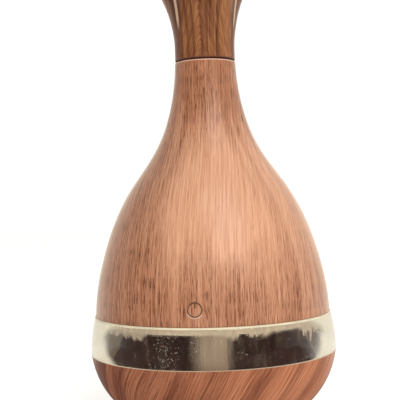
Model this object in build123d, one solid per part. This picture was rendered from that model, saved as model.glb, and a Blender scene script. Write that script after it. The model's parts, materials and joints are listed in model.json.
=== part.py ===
"""Cool mist humidifier in the shape of a wood-grain vase, as an assembly of separate pieces.

A bowl and a clear window ring make the water tank.  The vase-shaped upper unit stands on it,
closed below by a deck that carries the electronics and the wick holder.  A cotton wick feeds a
piezo mesh disc in the neck, and the mist leaves through a three-petalled head.

Millimetres, +Z up, origin at the centre of the foot on the table, front (button) towards -Y.
"""
from build123d import *
import math
import os

# ---------------------------------------------------------------- driving dimensions
WALL = 2.2                # moulded wall of the vase and the head
RUN = 0.1                 # radial running clearance between pieces that slip on and off
PRESS = 0.05              # radial room between pieces that are glued or pressed together

# tank
BOWL_UNDERSIDE = 0.8      # the rubber foot stands this far out below the bowl
BOWL_SEAM = 29.0          # bowl meets window
WINDOW_TOP = 43.5
MAX_R = 50.0
WINDOW_INNER_R = 45.5
TONGUE_R = 47.3           # tongue of the window inside the bowl
TONGUE_FOOT = 24.6
TANK_FLOOR = 3.4
FOOT_R = (19.0, 24.0)
FOOT_DEPTH = 0.8          # how deep the foot sits in its groove
BOWL_OUTLINE = [(26.5, BOWL_UNDERSIDE), (34.6, 4.6), (40.55, 9.3), (45.35, 15.5), (48.4, 22.1),
                (MAX_R, BOWL_SEAM)]
BOWL_INNER = [(23.2, TANK_FLOOR), (31.6, 6.4), (38.6, 11.6), (43.5, 18.6), (WINDOW_INNER_R, TONGUE_FOOT)]
WINDOW_OUTLINE = [(MAX_R, BOWL_SEAM), (49.85, 35.8), (48.9, 42.7)]

# vase-shaped upper shell, outline from its lower edge to the neck
GASKET_H = 0.7
SHELL_EDGE = WINDOW_TOP + GASKET_H
NECK_R = 12.4
NECK_TOP = 146.6
VASE_OUTLINE = [(47.8, SHELL_EDGE), (46.55, 56.6), (43.35, 69.9), (38.65, 83.0), (31.4, 96.2),
                (24.4, 106.1), (18.85, 116.0), (15.4, 126.0), (13.35, 136.0), (NECK_R, NECK_TOP)]
NECK_BORE_R = 10.2
NECK_BORE_FOOT = 138.5
HOLLOW_TOP_R = 10.85      # where the vase's hollow meets the bore in the neck
SCREW_BOSS_R = 3.2
SCREW_PILOT_R = 1.25
PORT_SLOT = (11.6, 6.6)   # width and height

# deck that closes the upper unit
DECK = (44.5, 46.5)       # underside and top
SKIRT_R = (43.0, 45.2)
SKIRT_FOOT = 41.0
SEAL_Z = (41.6, 43.2)
SEAL_R = (44.2, 45.4)
BOSS_FOOT = 37.8          # socket that takes the wick holder
BOSS_R = (6.5, 9.4)
BAYONET_Z = (40.5, 42.5)
BAYONET_R = 7.7
GUIDE_BOSS = (5.65, 8.0, 52.3)     # bore radius, outer radius, top
SCREW_CIRCLE_R = 37.0
SCREW_ANGLES = (30, 150, 240, 300)
SCREW_HOLE_R = 1.4
SCREW_TIP = 57.0
PILLAR_CIRCLE_R = 20.0    # pillars that carry the board
PILLAR_ANGLES = (60, 180, 300)
PILLAR_R = 3.0

# electronics
BOARD_Z = (48.0, 49.4)
BOARD_R = (9.0, 31.0)
COIL_AT = (17.0, 9.0)
COIL_R = 4.4
COIL_CORE_R = 2.2
COIL_H = 5.5
COIL_FLANGE = 1.0
TONGUE_Y = (-39.5, 43.0)  # ends of the board's tongues, at the button and at the port
BUTTON_Z = 50.6
BUTTON_R = 2.56
BUTTON_GAP = 0.08         # running clearance of the key in its hole
FLANGE_R = 3.4            # keeps the key from falling out
FLANGE_Y = (-44.4, -43.4)
STEM_R = 1.6
STEM_END = -41.5
PLUNGER_R = 1.0
PLUNGER_END = -39.8
SYMBOL_R = 2.6            # centre line of the ring engraved round the key's edge
SYMBOL_LINE = 0.46
SYMBOL_DEPTH = 0.35
STROKE = (0.5, 3.1)       # ends of the symbol's upright stroke, above the key's centre
SWITCH = (6.0, 4.0, 4.0)  # width, depth and height
SWITCH_Y = -38.6
PORT_Z = 50.7             # middle of the charging port
PORT_MOUTH_Y = 45.0
SOCKET = (7.5, 5.6, 2.6)  # width, length and height
SOCKET_WALL = 0.35
PLATE_Y = 43.6
PLATE = (13.4, 0.8, 7.0)
PLATE_FOOT = 47.2

# wick
TUBE_R = (4.6, 5.6)
HOLDER_R = (4.5, 5.6)
HOLDER_Z = (6.0, 44.0)
WICK_R = 4.0
WICK_Z = (13.0, 149.4)
SPRING_Z = (8.2, 13.0)

# atomiser
COLLAR_R = 10.85
COLLAR_Z = (139.0, 153.0)
CUP_R = 8.8               # counterbore that holds the disc and its gasket
CUP_FLOOR = 148.4
TUBE_TOP = 147.2
DISC_R = 8.0
DISC_Z = (149.4, 149.6, 150.3)     # mesh underside, ceramic underside, ceramic top
GASKET_TOP = 151.4
LEAD_X = 7.2
LEAD_R = 0.6

# petal head
HEAD_FOOT = 147.5         # leaves the narrow dark gap above the neck
HEAD_R = 12.3
HEAD_RIM = 183.0
FLARE = 0.0117            # the head widens by this times the square of the height above FLARE_FOOT
FLARE_FOOT = 152.5
VALLEY = 5.6              # depth of the valleys between petals at the rim
VALLEY_FOOT = 160.0
WEB_Z = (153.0, 155.0)
WEB_HOLE_R = 7.0
PETALS = 3
PETAL_TURN = 15.4         # how far round from the front the first petal stands
ARCH_R = 20.0             # arch of each petal's top edge


# ---------------------------------------------------------------- helpers
def turned(*corners):
    """A solid of revolution about Z from (radius, height) corners."""
    face = make_face(Plane.XZ * Polyline(*corners, close=True))
    return revolve(face, Axis.Z, 360)


def ring(inner, outer, foot, top):
    """A plain ring or, with no inner radius, a disc."""
    return turned((inner, foot), (outer, foot), (outer, top), (inner, top))


def turned_under(outline, tangents=None):
    """The solid between the Z axis and a smooth outline of (radius, height) points."""
    (r0, z0), (r1, z1) = outline[0], outline[-1]
    curve = Spline(*outline, tangents=tangents) if tangents else Spline(*outline)
    closing = Polyline((r1, z1), (0, z1), (0, z0), (r0, z0))
    return revolve(make_face(Plane.XZ * (curve + closing)), Axis.Z, 360)


def inset(outline, depth):
    """The outline moved inwards by depth along its normal at each point."""
    moved = []
    for i, (r, z) in enumerate(outline):
        r0, z0 = outline[max(i - 1, 0)]
        r1, z1 = outline[min(i + 1, len(outline) - 1)]
        length = math.hypot(r1 - r0, z1 - z0)
        moved.append((r - depth * (z1 - z0) / length, z + depth * (r1 - r0) / length))
    moved[0] = (outline[0][0] - depth, outline[0][1])
    moved[-1] = (outline[-1][0] - depth, outline[-1][1])
    return moved


def post(x, y, foot, top, radius):
    """An upright cylinder."""
    return Pos(x, y, foot) * Cylinder(radius, top - foot, align=(Align.CENTER, Align.CENTER, Align.MIN))


def bar_y(x, z, near, far, radius):
    """A cylinder along +Y from y = near to y = far."""
    lying = Rot(-90, 0, 0) * Cylinder(radius, far - near, align=(Align.CENTER, Align.CENTER, Align.MIN))
    return Pos(x, near, z) * lying


def block(x, y, z, width, depth, height):
    """A box centred on x and y that stands on z."""
    return Pos(x, y, z) * Box(width, depth, height, align=(Align.CENTER, Align.CENTER, Align.MIN))


def around(radius, degrees):
    """The x and y of a point on a circle."""
    a = math.radians(degrees)
    return radius * math.cos(a), radius * math.sin(a)


def sector(inner, outer, foot, top, middle, half_width):
    """A slice of a ring, half_width degrees to each side of middle."""
    slab = block(outer / 2, 0, foot, outer, 2 * outer * math.tan(math.radians(half_width)), top - foot)
    wedge = ring(inner, outer, foot, top) & slab
    return Rot(0, 0, middle) * wedge


# ---------------------------------------------------------------- tank
def base_bowl():
    """Wood-grain bowl: the lower half of the tank, with a ledge for the window's tongue."""
    outer = turned_under(BOWL_OUTLINE)
    hollow = turned_under(BOWL_INNER)
    ledge = ring(0, TONGUE_R + PRESS, TONGUE_FOOT, BOWL_SEAM)
    groove = ring(*FOOT_R, BOWL_UNDERSIDE, BOWL_UNDERSIDE + FOOT_DEPTH)
    return outer - hollow - ledge - groove


def window_ring():
    """Clear ring between bowl and vase, with a tongue down inside the bowl."""
    top_edge = WINDOW_OUTLINE[-1]
    curve = Spline(*WINDOW_OUTLINE, tangents=[(0, 1), (-0.25, 1)])
    rest = Polyline(top_edge, (48.1, WINDOW_TOP), (WINDOW_INNER_R, WINDOW_TOP), (WINDOW_INNER_R, TONGUE_FOOT),
                    (TONGUE_R, TONGUE_FOOT), (TONGUE_R, BOWL_SEAM), (MAX_R, BOWL_SEAM))
    return revolve(make_face(Plane.XZ * (curve + rest)), Axis.Z, 360)


def foot_ring():
    """Rubber anti-slip ring let into the underside."""
    return ring(FOOT_R[0], FOOT_R[1], 0, BOWL_UNDERSIDE + FOOT_DEPTH)


def rim_gasket():
    """Flat silicone ring on the tank's rim: the pale line under the vase."""
    return ring(45.7, 48.15, WINDOW_TOP, SHELL_EDGE)


# ---------------------------------------------------------------- vase shell and deck
def vase_solid():
    """The vase as if it were not hollow."""
    return turned_under(VASE_OUTLINE)


def vase_hollow():
    """The inside of the vase, with the straight bore in the neck."""
    inner = [p for p in inset(VASE_OUTLINE, WALL) if p[1] < NECK_BORE_FOOT]
    top = NECK_BORE_FOOT
    wide = turned_under(inner + [(HOLLOW_TOP_R, top)])
    return wide + ring(0, NECK_BORE_R, top, NECK_TOP)


def upper_shell():
    """Wood-grain vase with screw bosses, button hole and charging-port slot."""
    shell = vase_solid() - vase_hollow()
    for degrees in SCREW_ANGLES:
        x, y = around(SCREW_CIRCLE_R, degrees)
        boss = post(x, y, DECK[1], NECK_TOP, SCREW_BOSS_R) & vase_solid()
        shell += boss
        shell -= post(x, y, DECK[1], SCREW_TIP + 3, SCREW_PILOT_R)
    shell -= bar_y(0, BUTTON_Z, -MAX_R, STEM_END, BUTTON_R + BUTTON_GAP)
    shell -= engraving()
    slot = Plane.XZ * SlotOverall(*PORT_SLOT)
    shell -= Pos(0, MAX_R, PORT_Z) * extrude(slot, 4 * WALL)
    return shell


def deck():
    """Floor of the upper unit, with the skirt that plugs the tank and the wick holder's socket."""
    body = ring(0, SKIRT_R[1], *DECK)
    body += ring(*SKIRT_R, SKIRT_FOOT, DECK[1])
    body += ring(BOSS_R[0], BOSS_R[1], BOSS_FOOT, DECK[0])
    body += ring(GUIDE_BOSS[0], GUIDE_BOSS[1], DECK[0], GUIDE_BOSS[2])
    body -= ring(0, GUIDE_BOSS[0], DECK[0], GUIDE_BOSS[2])
    body -= ring(SEAL_R[0], SKIRT_R[1] + 1, *SEAL_Z)
    body -= ring(0, BAYONET_R, *BAYONET_Z)
    for degrees in (90, 270):
        body -= sector(0, BAYONET_R, BOSS_FOOT, BAYONET_Z[0], degrees, 20)
    for degrees in SCREW_ANGLES:
        x, y = around(SCREW_CIRCLE_R, degrees)
        body -= post(x, y, *DECK, SCREW_HOLE_R)
    for degrees in PILLAR_ANGLES:
        x, y = around(PILLAR_CIRCLE_R, degrees)
        body += post(x, y, DECK[1], BOARD_Z[0], PILLAR_R)
        body -= post(x, y, DECK[0] + 0.8, BOARD_Z[0], 0.85)
    return body


def skirt_seal():
    """Silicone ring in the skirt's groove."""
    return ring(*SEAL_R, *SEAL_Z)


def deck_screws():
    """Self-tapping screws from below the deck into the vase's bosses."""
    screws = []
    for degrees in SCREW_ANGLES:
        x, y = around(SCREW_CIRCLE_R, degrees)
        screw = post(x, y, DECK[0] - 1.4, DECK[0], 2.5)
        screw += post(x, y, DECK[0], SCREW_TIP, SCREW_PILOT_R - PRESS)
        screw -= block(x, y, DECK[0] - 1.4, 3.2, 0.6, 0.7) + block(x, y, DECK[0] - 1.4, 0.6, 3.2, 0.7)
        screws.append(screw)
    return screws


# ---------------------------------------------------------------- electronics
def main_board():
    """Round circuit board with a tongue to the button and one to the charging port."""
    board = ring(*BOARD_R, *BOARD_Z)
    for end, width in zip(TONGUE_Y, (10, 12)):
        start = math.copysign(BOARD_R[1] - 2, end)
        board += block(0, (start + end) / 2, BOARD_Z[0], width, abs(end - start), BOARD_Z[1] - BOARD_Z[0])
    for degrees in PILLAR_ANGLES:
        x, y = around(PILLAR_CIRCLE_R, degrees)
        board -= post(x, y, *BOARD_Z, 1.1)
    return board


def board_screws():
    """Three small screws that hold the board on the deck's pillars."""
    screws = []
    for degrees in PILLAR_ANGLES:
        x, y = around(PILLAR_CIRCLE_R, degrees)
        screw = post(x, y, BOARD_Z[1], BOARD_Z[1] + 1.2, 1.9) + post(x, y, 45.6, BOARD_Z[1], 0.8)
        screw -= block(x, y, BOARD_Z[1] + 0.6, 2.4, 0.5, 0.6) + block(x, y, BOARD_Z[1] + 0.6, 0.5, 2.4, 0.6)
        screws.append(screw)
    return screws


def board_chips():
    """Controller and driver chips, with their legs left out."""
    return [block(-16, 9, BOARD_Z[1], 6, 5, 1.7), block(-14, -12, BOARD_Z[1], 5, 4, 1.5)]


def boost_coil():
    """Wound coil that drives the piezo disc."""
    core = ring(0, COIL_CORE_R, 0, COIL_H)
    flanges = ring(0, COIL_R, 0, COIL_FLANGE) + ring(0, COIL_R, COIL_H - COIL_FLANGE, COIL_H)
    return Pos(*COIL_AT, BOARD_Z[1]) * (core + flanges)


def coil_winding():
    """Copper winding between the coil's flanges."""
    return Pos(*COIL_AT, BOARD_Z[1]) * ring(COIL_CORE_R, COIL_R - 0.4, COIL_FLANGE, COIL_H - COIL_FLANGE)


def capacitors():
    """Two upright electrolytic capacitors."""
    return [post(15, -14, BOARD_Z[1], BOARD_Z[1] + 7, 2.5), post(20.5, -8.5, BOARD_Z[1], BOARD_Z[1] + 7, 2.5)]


def lamps():
    """Six lamps under the board that light the window through the deck."""
    return [Rot(0, 0, a) * block(26, 0, BOARD_Z[0] - 1.4, 5, 5, 1.4) for a in range(0, 360, 60)]


def tact_switch():
    """Side-press switch behind the button, open for its plunger."""
    body = block(0, SWITCH_Y, BOARD_Z[1], *SWITCH)
    return body - bar_y(0, BUTTON_Z, SWITCH_Y - SWITCH[1] / 2, SWITCH_Y, PLUNGER_R + 0.1)


def usb_socket():
    """Small charging socket: a folded metal shell with its tongue."""
    width, length, height = SOCKET
    middle = PORT_MOUTH_Y - length / 2
    shell = block(0, middle, BOARD_Z[1], width, length, height)
    hollow = block(0, middle + SOCKET_WALL, BOARD_Z[1] + SOCKET_WALL, width - 2 * SOCKET_WALL, length,
                   height - 2 * SOCKET_WALL)
    tongue = block(0, middle - 0.7, BOARD_Z[1] + 1.0, width / 2, length - 1.4, 0.6)
    return (shell - hollow) + tongue


def port_plate():
    """Dark plate behind the slot that closes it round the socket."""
    width, length, height = SOCKET
    plate = block(0, PLATE_Y, PLATE_FOOT, *PLATE)
    return plate - block(0, PLATE_Y, BOARD_Z[1] - RUN, width + 2 * RUN, length, height + 2 * RUN)


def lead(side):
    """Insulated lead from the board up beside the guide tube to the disc."""
    route = FilletPolyline((side * 13, 0, BOARD_Z[1]), (side * 13, 0, 53), (side * LEAD_X, 0, 61),
                           (side * LEAD_X, 0, DISC_Z[0]), radius=[5.0, 8.0])
    section = Plane(origin=(side * 13, 0, BOARD_Z[1]), z_dir=(0, 0, 1)) * Circle(LEAD_R)
    return sweep(section, path=route)


def lead_clips():
    """Clips on the guide tube that hold both leads."""
    clips = []
    for height in (80, 118):
        clip = ring(TUBE_R[1] + PRESS, 8.6, height, height + 3)
        for side in (-1, 1):
            clip -= post(side * LEAD_X, 0, height, height + 3, LEAD_R + PRESS)
        clips.append(clip)
    return clips


# ---------------------------------------------------------------- button
def engraving():
    """Ring round the key's edge and upright stroke, as a thin solid in the vase's surface."""
    skin = vase_solid() - turned_under(inset(VASE_OUTLINE, SYMBOL_DEPTH))
    half = SYMBOL_LINE / 2
    low, high = STROKE
    circle = Circle(SYMBOL_R + half) - Circle(SYMBOL_R - half)
    stroke = Pos(0, (low + high) / 2) * Rectangle(SYMBOL_LINE, high - low)
    return (Pos(0, STEM_END, BUTTON_Z) * extrude(Plane.XZ * (circle + stroke), MAX_R)) & skin


def power_button():
    """Round key that follows the vase's surface, with its half of the engraved power symbol."""
    cap = vase_solid() & bar_y(0, BUTTON_Z, -MAX_R, FLANGE_Y[1], BUTTON_R)
    cap += bar_y(0, BUTTON_Z, *FLANGE_Y, FLANGE_R)
    cap += bar_y(0, BUTTON_Z, FLANGE_Y[1], STEM_END, STEM_R)
    return cap - engraving()


def switch_plunger():
    """Plunger of the switch, which the button pushes."""
    return bar_y(0, BUTTON_Z, STEM_END, PLUNGER_END, PLUNGER_R)


# ---------------------------------------------------------------- wick
def guide_tube():
    """Tube that takes the wick through the electronics up to the disc."""
    return ring(*TUBE_R, DECK[0], TUBE_TOP)


def holder_gasket():
    """Flat seal between the wick holder and the deck."""
    return ring(4.8, 6.3, HOLDER_Z[1], DECK[0])


def wick_holder():
    """Tube that hangs in the tank, held by two bayonet lugs, with water slots near its foot."""
    tube = ring(*HOLDER_R, *HOLDER_Z)
    tube += ring(HOLDER_R[0], BOSS_R[0] - RUN + 0.02, BOSS_FOOT + 0.3, HOLDER_Z[1])
    for degrees in (0, 180):
        tube += sector(HOLDER_R[1], 7.4, BAYONET_Z[0] + 0.2, BAYONET_Z[1] - 0.2, degrees, 15)
    for degrees in range(45, 360, 90):
        tube -= Rot(0, 0, degrees) * block(5, 0, 14.5, 4, 2.2, 4)
        tube -= Rot(0, 0, degrees) * block(5, 0, 9.0, 4, 2.2, 4)
    return tube


def wick_cap():
    """Cap that closes the holder's foot and carries the spring."""
    cap = ring(0, HOLDER_R[1], HOLDER_Z[0] - 0.8, HOLDER_Z[0])
    cap += ring(0, HOLDER_R[0] - PRESS, HOLDER_Z[0], SPRING_Z[0])
    for degrees in range(0, 360, 90):
        x, y = around(2.2, degrees)
        cap -= post(x, y, HOLDER_Z[0] - 0.8, SPRING_Z[0], 0.7)
    return cap


def wick_spring():
    """Coil spring that keeps the wick against the disc."""
    wire, mean = 0.3, 3.0
    foot, top = SPRING_Z[0] + wire, SPRING_Z[1] - wire
    path = Helix(pitch=(top - foot) / 3.5, height=top - foot, radius=mean, center=(0, 0, foot))
    section = Plane(origin=path @ 0, z_dir=path % 0) * Circle(wire)
    return sweep(section, path=path, is_frenet=True)


def wick():
    """Cotton wick."""
    return ring(0, WICK_R, *WICK_Z)


# ---------------------------------------------------------------- atomiser
def collar():
    """Plug in the neck that seats the disc, with the spigot the head slips over."""
    body = ring(TUBE_R[1] + PRESS, NECK_BORE_R - PRESS, COLLAR_Z[0], NECK_TOP)
    body += ring(5.0, COLLAR_R, NECK_TOP, COLLAR_Z[1])
    body -= ring(0, TUBE_R[1] + PRESS, COLLAR_Z[0], TUBE_TOP)
    body -= ring(0, CUP_R, CUP_FLOOR, COLLAR_Z[1])
    body -= ring(10.15, COLLAR_R + 1, 149.6, 151.0)
    for side in (-1, 1):
        body -= post(side * LEAD_X, 0, COLLAR_Z[0], CUP_FLOOR, LEAD_R + 0.2)
    return body


def head_seal():
    """Silicone ring in the spigot's groove, on which the head grips and turns."""
    return ring(10.2, 10.9, 149.65, 150.95)


def disc_gasket():
    """Silicone ring that grips the disc's edge."""
    lower, upper = DISC_Z[0], DISC_Z[2]
    outer = CUP_R - PRESS
    body = turned((5.0, CUP_FLOOR), (outer, CUP_FLOOR), (outer, GASKET_TOP), (5.0, GASKET_TOP),
                  (5.0, upper), (DISC_R + PRESS, upper), (DISC_R + PRESS, lower), (5.0, lower))
    for side in (-1, 1):
        body -= post(side * LEAD_X, 0, CUP_FLOOR, lower, LEAD_R + 0.2)
    return body


def mesh_plate():
    """Thin steel disc with the mist holes at its middle, which are too fine to model."""
    return ring(0, DISC_R, DISC_Z[0], DISC_Z[1])


def piezo_ring():
    """Ceramic ring bonded on the steel disc."""
    return ring(4.2, DISC_R, DISC_Z[1], DISC_Z[2])


def disc_retainer():
    """Ring that holds the gasket down in the collar."""
    return ring(5.2, CUP_R - PRESS, GASKET_TOP, COLLAR_Z[1] - 0.2)


# ---------------------------------------------------------------- petal head
def crest_radius(z):
    """Radius of the head along the middle of a petal."""
    return HEAD_R + FLARE * max(z - FLARE_FOOT, 0.0) ** 2


def valley_depth(z):
    """How far the valleys between petals lie inside that radius."""
    return VALLEY * (max(z - VALLEY_FOOT, 0.0) / (HEAD_RIM - VALLEY_FOOT)) ** 1.5


def petal_section(z, inset_by):
    """Closed wavy outline of the head at height z, moved in by inset_by."""
    per_petal, softness = 8, 0.12
    points = []
    for i in range(PETALS * per_petal):
        a = 2 * math.pi * i / (PETALS * per_petal)
        full = math.sqrt(math.cos(PETALS / 2 * a) ** 2 + softness ** 2) - softness
        lobe = full / (math.sqrt(1 + softness ** 2) - softness)
        r = crest_radius(z) - valley_depth(z) * (1 - lobe) - inset_by
        points.append((r * math.cos(a), r * math.sin(a), z))
    return Wire(Spline(*points, periodic=True))


def petal_loft(foot, top, inset_by):
    """The head between two heights as a solid, round below and fluted above."""
    steps = round((top - foot) / 3)
    heights = [foot + (top - foot) * i / steps for i in range(steps + 1)]
    return Solid.make_loft([petal_section(z, inset_by) for z in heights])


def mist_head():
    """Flared head of three petals, with a socket for the collar and a web over it."""
    body = petal_loft(HEAD_FOOT, HEAD_RIM + 1, 0) - petal_loft(WEB_Z[1], HEAD_RIM + 2, WALL)
    body -= ring(0, COLLAR_R + RUN, HEAD_FOOT - 1, WEB_Z[0])
    body -= ring(0, WEB_HOLE_R, WEB_Z[0] - 1, WEB_Z[1] + 1)
    keep = post(0, 0, HEAD_FOOT - 1, HEAD_RIM - 5, 40)
    for i in range(PETALS):
        arch = Cylinder(ARCH_R, 40, align=(Align.CENTER, Align.CENTER, Align.MIN))
        keep += Pos(0, 0, HEAD_RIM - ARCH_R) * Rot(0, 0, i * 360 / PETALS) * Rot(0, 90, 0) * arch
    return Rot(0, 0, PETAL_TURN - 90) * (body & keep)


def nozzle_insert():
    """Funnel insert in the head's web that leads the mist up."""
    plug = WEB_HOLE_R - PRESS
    return turned((5.0, WEB_Z[0] + 0.1), (plug, WEB_Z[0] + 0.1), (plug, WEB_Z[1]), (8.6, WEB_Z[1]),
                  (8.6, WEB_Z[1] + 1.0), (6.4, WEB_Z[1] + 1.4), (5.6, 159.0), (4.6, 159.0))


# ---------------------------------------------------------------- write one file per node
NODES = {
    "base_bowl": base_bowl,
    "window_ring": window_ring,
    "foot_ring": foot_ring,
    "rim_gasket": rim_gasket,
    "upper_shell": upper_shell,
    "deck": deck,
    "skirt_seal": skirt_seal,
    "deck_screws": deck_screws,
    "main_board": main_board,
    "board_screws": board_screws,
    "board_chips": board_chips,
    "boost_coil": boost_coil,
    "coil_winding": coil_winding,
    "capacitors": capacitors,
    "lamps": lamps,
    "tact_switch": tact_switch,
    "usb_socket": usb_socket,
    "port_plate": port_plate,
    "lead_live": lambda: lead(1),
    "lead_return": lambda: lead(-1),
    "lead_clips": lead_clips,
    "power_button": power_button,
    "switch_plunger": switch_plunger,
    "guide_tube": guide_tube,
    "holder_gasket": holder_gasket,
    "wick_holder": wick_holder,
    "wick_cap": wick_cap,
    "wick_spring": wick_spring,
    "wick": wick,
    "collar": collar,
    "head_seal": head_seal,
    "disc_gasket": disc_gasket,
    "mesh_plate": mesh_plate,
    "piezo_ring": piezo_ring,
    "disc_retainer": disc_retainer,
    "mist_head": mist_head,
    "nozzle_insert": nozzle_insert,
}

os.makedirs("parts", exist_ok=True)
for name, make in NODES.items():
    made = make()
    shape = Compound(children=made) if isinstance(made, list) else made
    export_step(shape, f"parts/{name}.step")
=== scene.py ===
"""Looks of the vase-shaped cool mist humidifier: finishes, added pieces, studio and camera.

Metres, +Z up, front with the power key towards -Y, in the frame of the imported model.
"""
import json
import logging
import math
from dataclasses import dataclass
from enum import Enum

import bpy
import numpy as np
from mathutils import Matrix, Vector


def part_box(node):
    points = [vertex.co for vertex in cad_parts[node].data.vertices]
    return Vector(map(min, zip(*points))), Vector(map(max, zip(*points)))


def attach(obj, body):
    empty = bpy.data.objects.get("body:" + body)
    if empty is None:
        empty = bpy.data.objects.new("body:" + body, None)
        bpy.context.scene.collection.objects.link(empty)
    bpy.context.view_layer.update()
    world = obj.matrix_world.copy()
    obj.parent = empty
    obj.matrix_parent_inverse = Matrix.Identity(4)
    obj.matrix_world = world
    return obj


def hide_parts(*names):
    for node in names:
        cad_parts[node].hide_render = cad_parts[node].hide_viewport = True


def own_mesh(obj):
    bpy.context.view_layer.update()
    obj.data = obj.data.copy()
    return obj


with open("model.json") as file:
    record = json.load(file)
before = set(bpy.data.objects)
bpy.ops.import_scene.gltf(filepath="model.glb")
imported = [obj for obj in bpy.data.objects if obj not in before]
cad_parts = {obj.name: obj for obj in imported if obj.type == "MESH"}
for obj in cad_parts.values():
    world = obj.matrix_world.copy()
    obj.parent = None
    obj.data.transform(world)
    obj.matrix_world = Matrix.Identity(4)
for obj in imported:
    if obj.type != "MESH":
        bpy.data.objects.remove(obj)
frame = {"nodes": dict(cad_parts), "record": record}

LOG = logging.getLogger("humidifier")
MM = 0.001

Colour = tuple[float, float, float]

TANK_BORE = (0.0453, 0.0456)            # radii between which the bowl's bare moulding changes to its ledge
VASE_WIDEST = 0.0465                    # radius at which the film's arc length and angle agree
NECK_BEGINS = (0.098, 0.130)            # heights over which the vase narrows to its neck
PETALS = 3
VALLEY = math.radians(-14.6)            # direction of one valley between petals, from +X
KEY_RING = 2.6 * MM                     # radius of the power symbol's ring
KEY_LIP = 2.95 * MM                     # radius of the painted highlight on the ring's lower edge


# ---------------------------------------------------------------- shader expressions
class Signal:
    """A node's output that takes part in Python arithmetic, each step adding a Math node."""

    def __init__(self, graph: "Graph", socket: bpy.types.NodeSocket) -> None:
        """Keeps the socket and the graph it belongs to."""
        self.graph = graph
        self.socket = socket

    def maths(self, operation: str, *others: "Signal | float") -> "Signal":
        """Applies a Math node's operation to this signal and the others, in order."""
        return self.graph.maths(operation, self, *others)

    def __add__(self, other: "Signal | float") -> "Signal":
        """Sum."""
        return self.maths("ADD", other)

    __radd__ = __add__

    def __sub__(self, other: "Signal | float") -> "Signal":
        """Difference."""
        return self.maths("SUBTRACT", other)

    def __rsub__(self, other: float) -> "Signal":
        """Difference, with this signal taken away."""
        return self.graph.maths("SUBTRACT", other, self)

    def __mul__(self, other: "Signal | float") -> "Signal":
        """Product."""
        return self.maths("MULTIPLY", other)

    __rmul__ = __mul__

    def __truediv__(self, other: "Signal | float") -> "Signal":
        """Quotient."""
        return self.maths("DIVIDE", other)

    def __pow__(self, other: float) -> "Signal":
        """Power."""
        return self.maths("POWER", other)

    def rise(self, low: float, high: float) -> "Signal":
        """Smooth step from 0 at low to 1 at high; low may be the larger."""
        settings = {"interpolation_type": "SMOOTHSTEP"}
        sockets = {"Value": self, "From Min": low, "From Max": high}
        return self.graph.node("ShaderNodeMapRange", settings, sockets)


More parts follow.
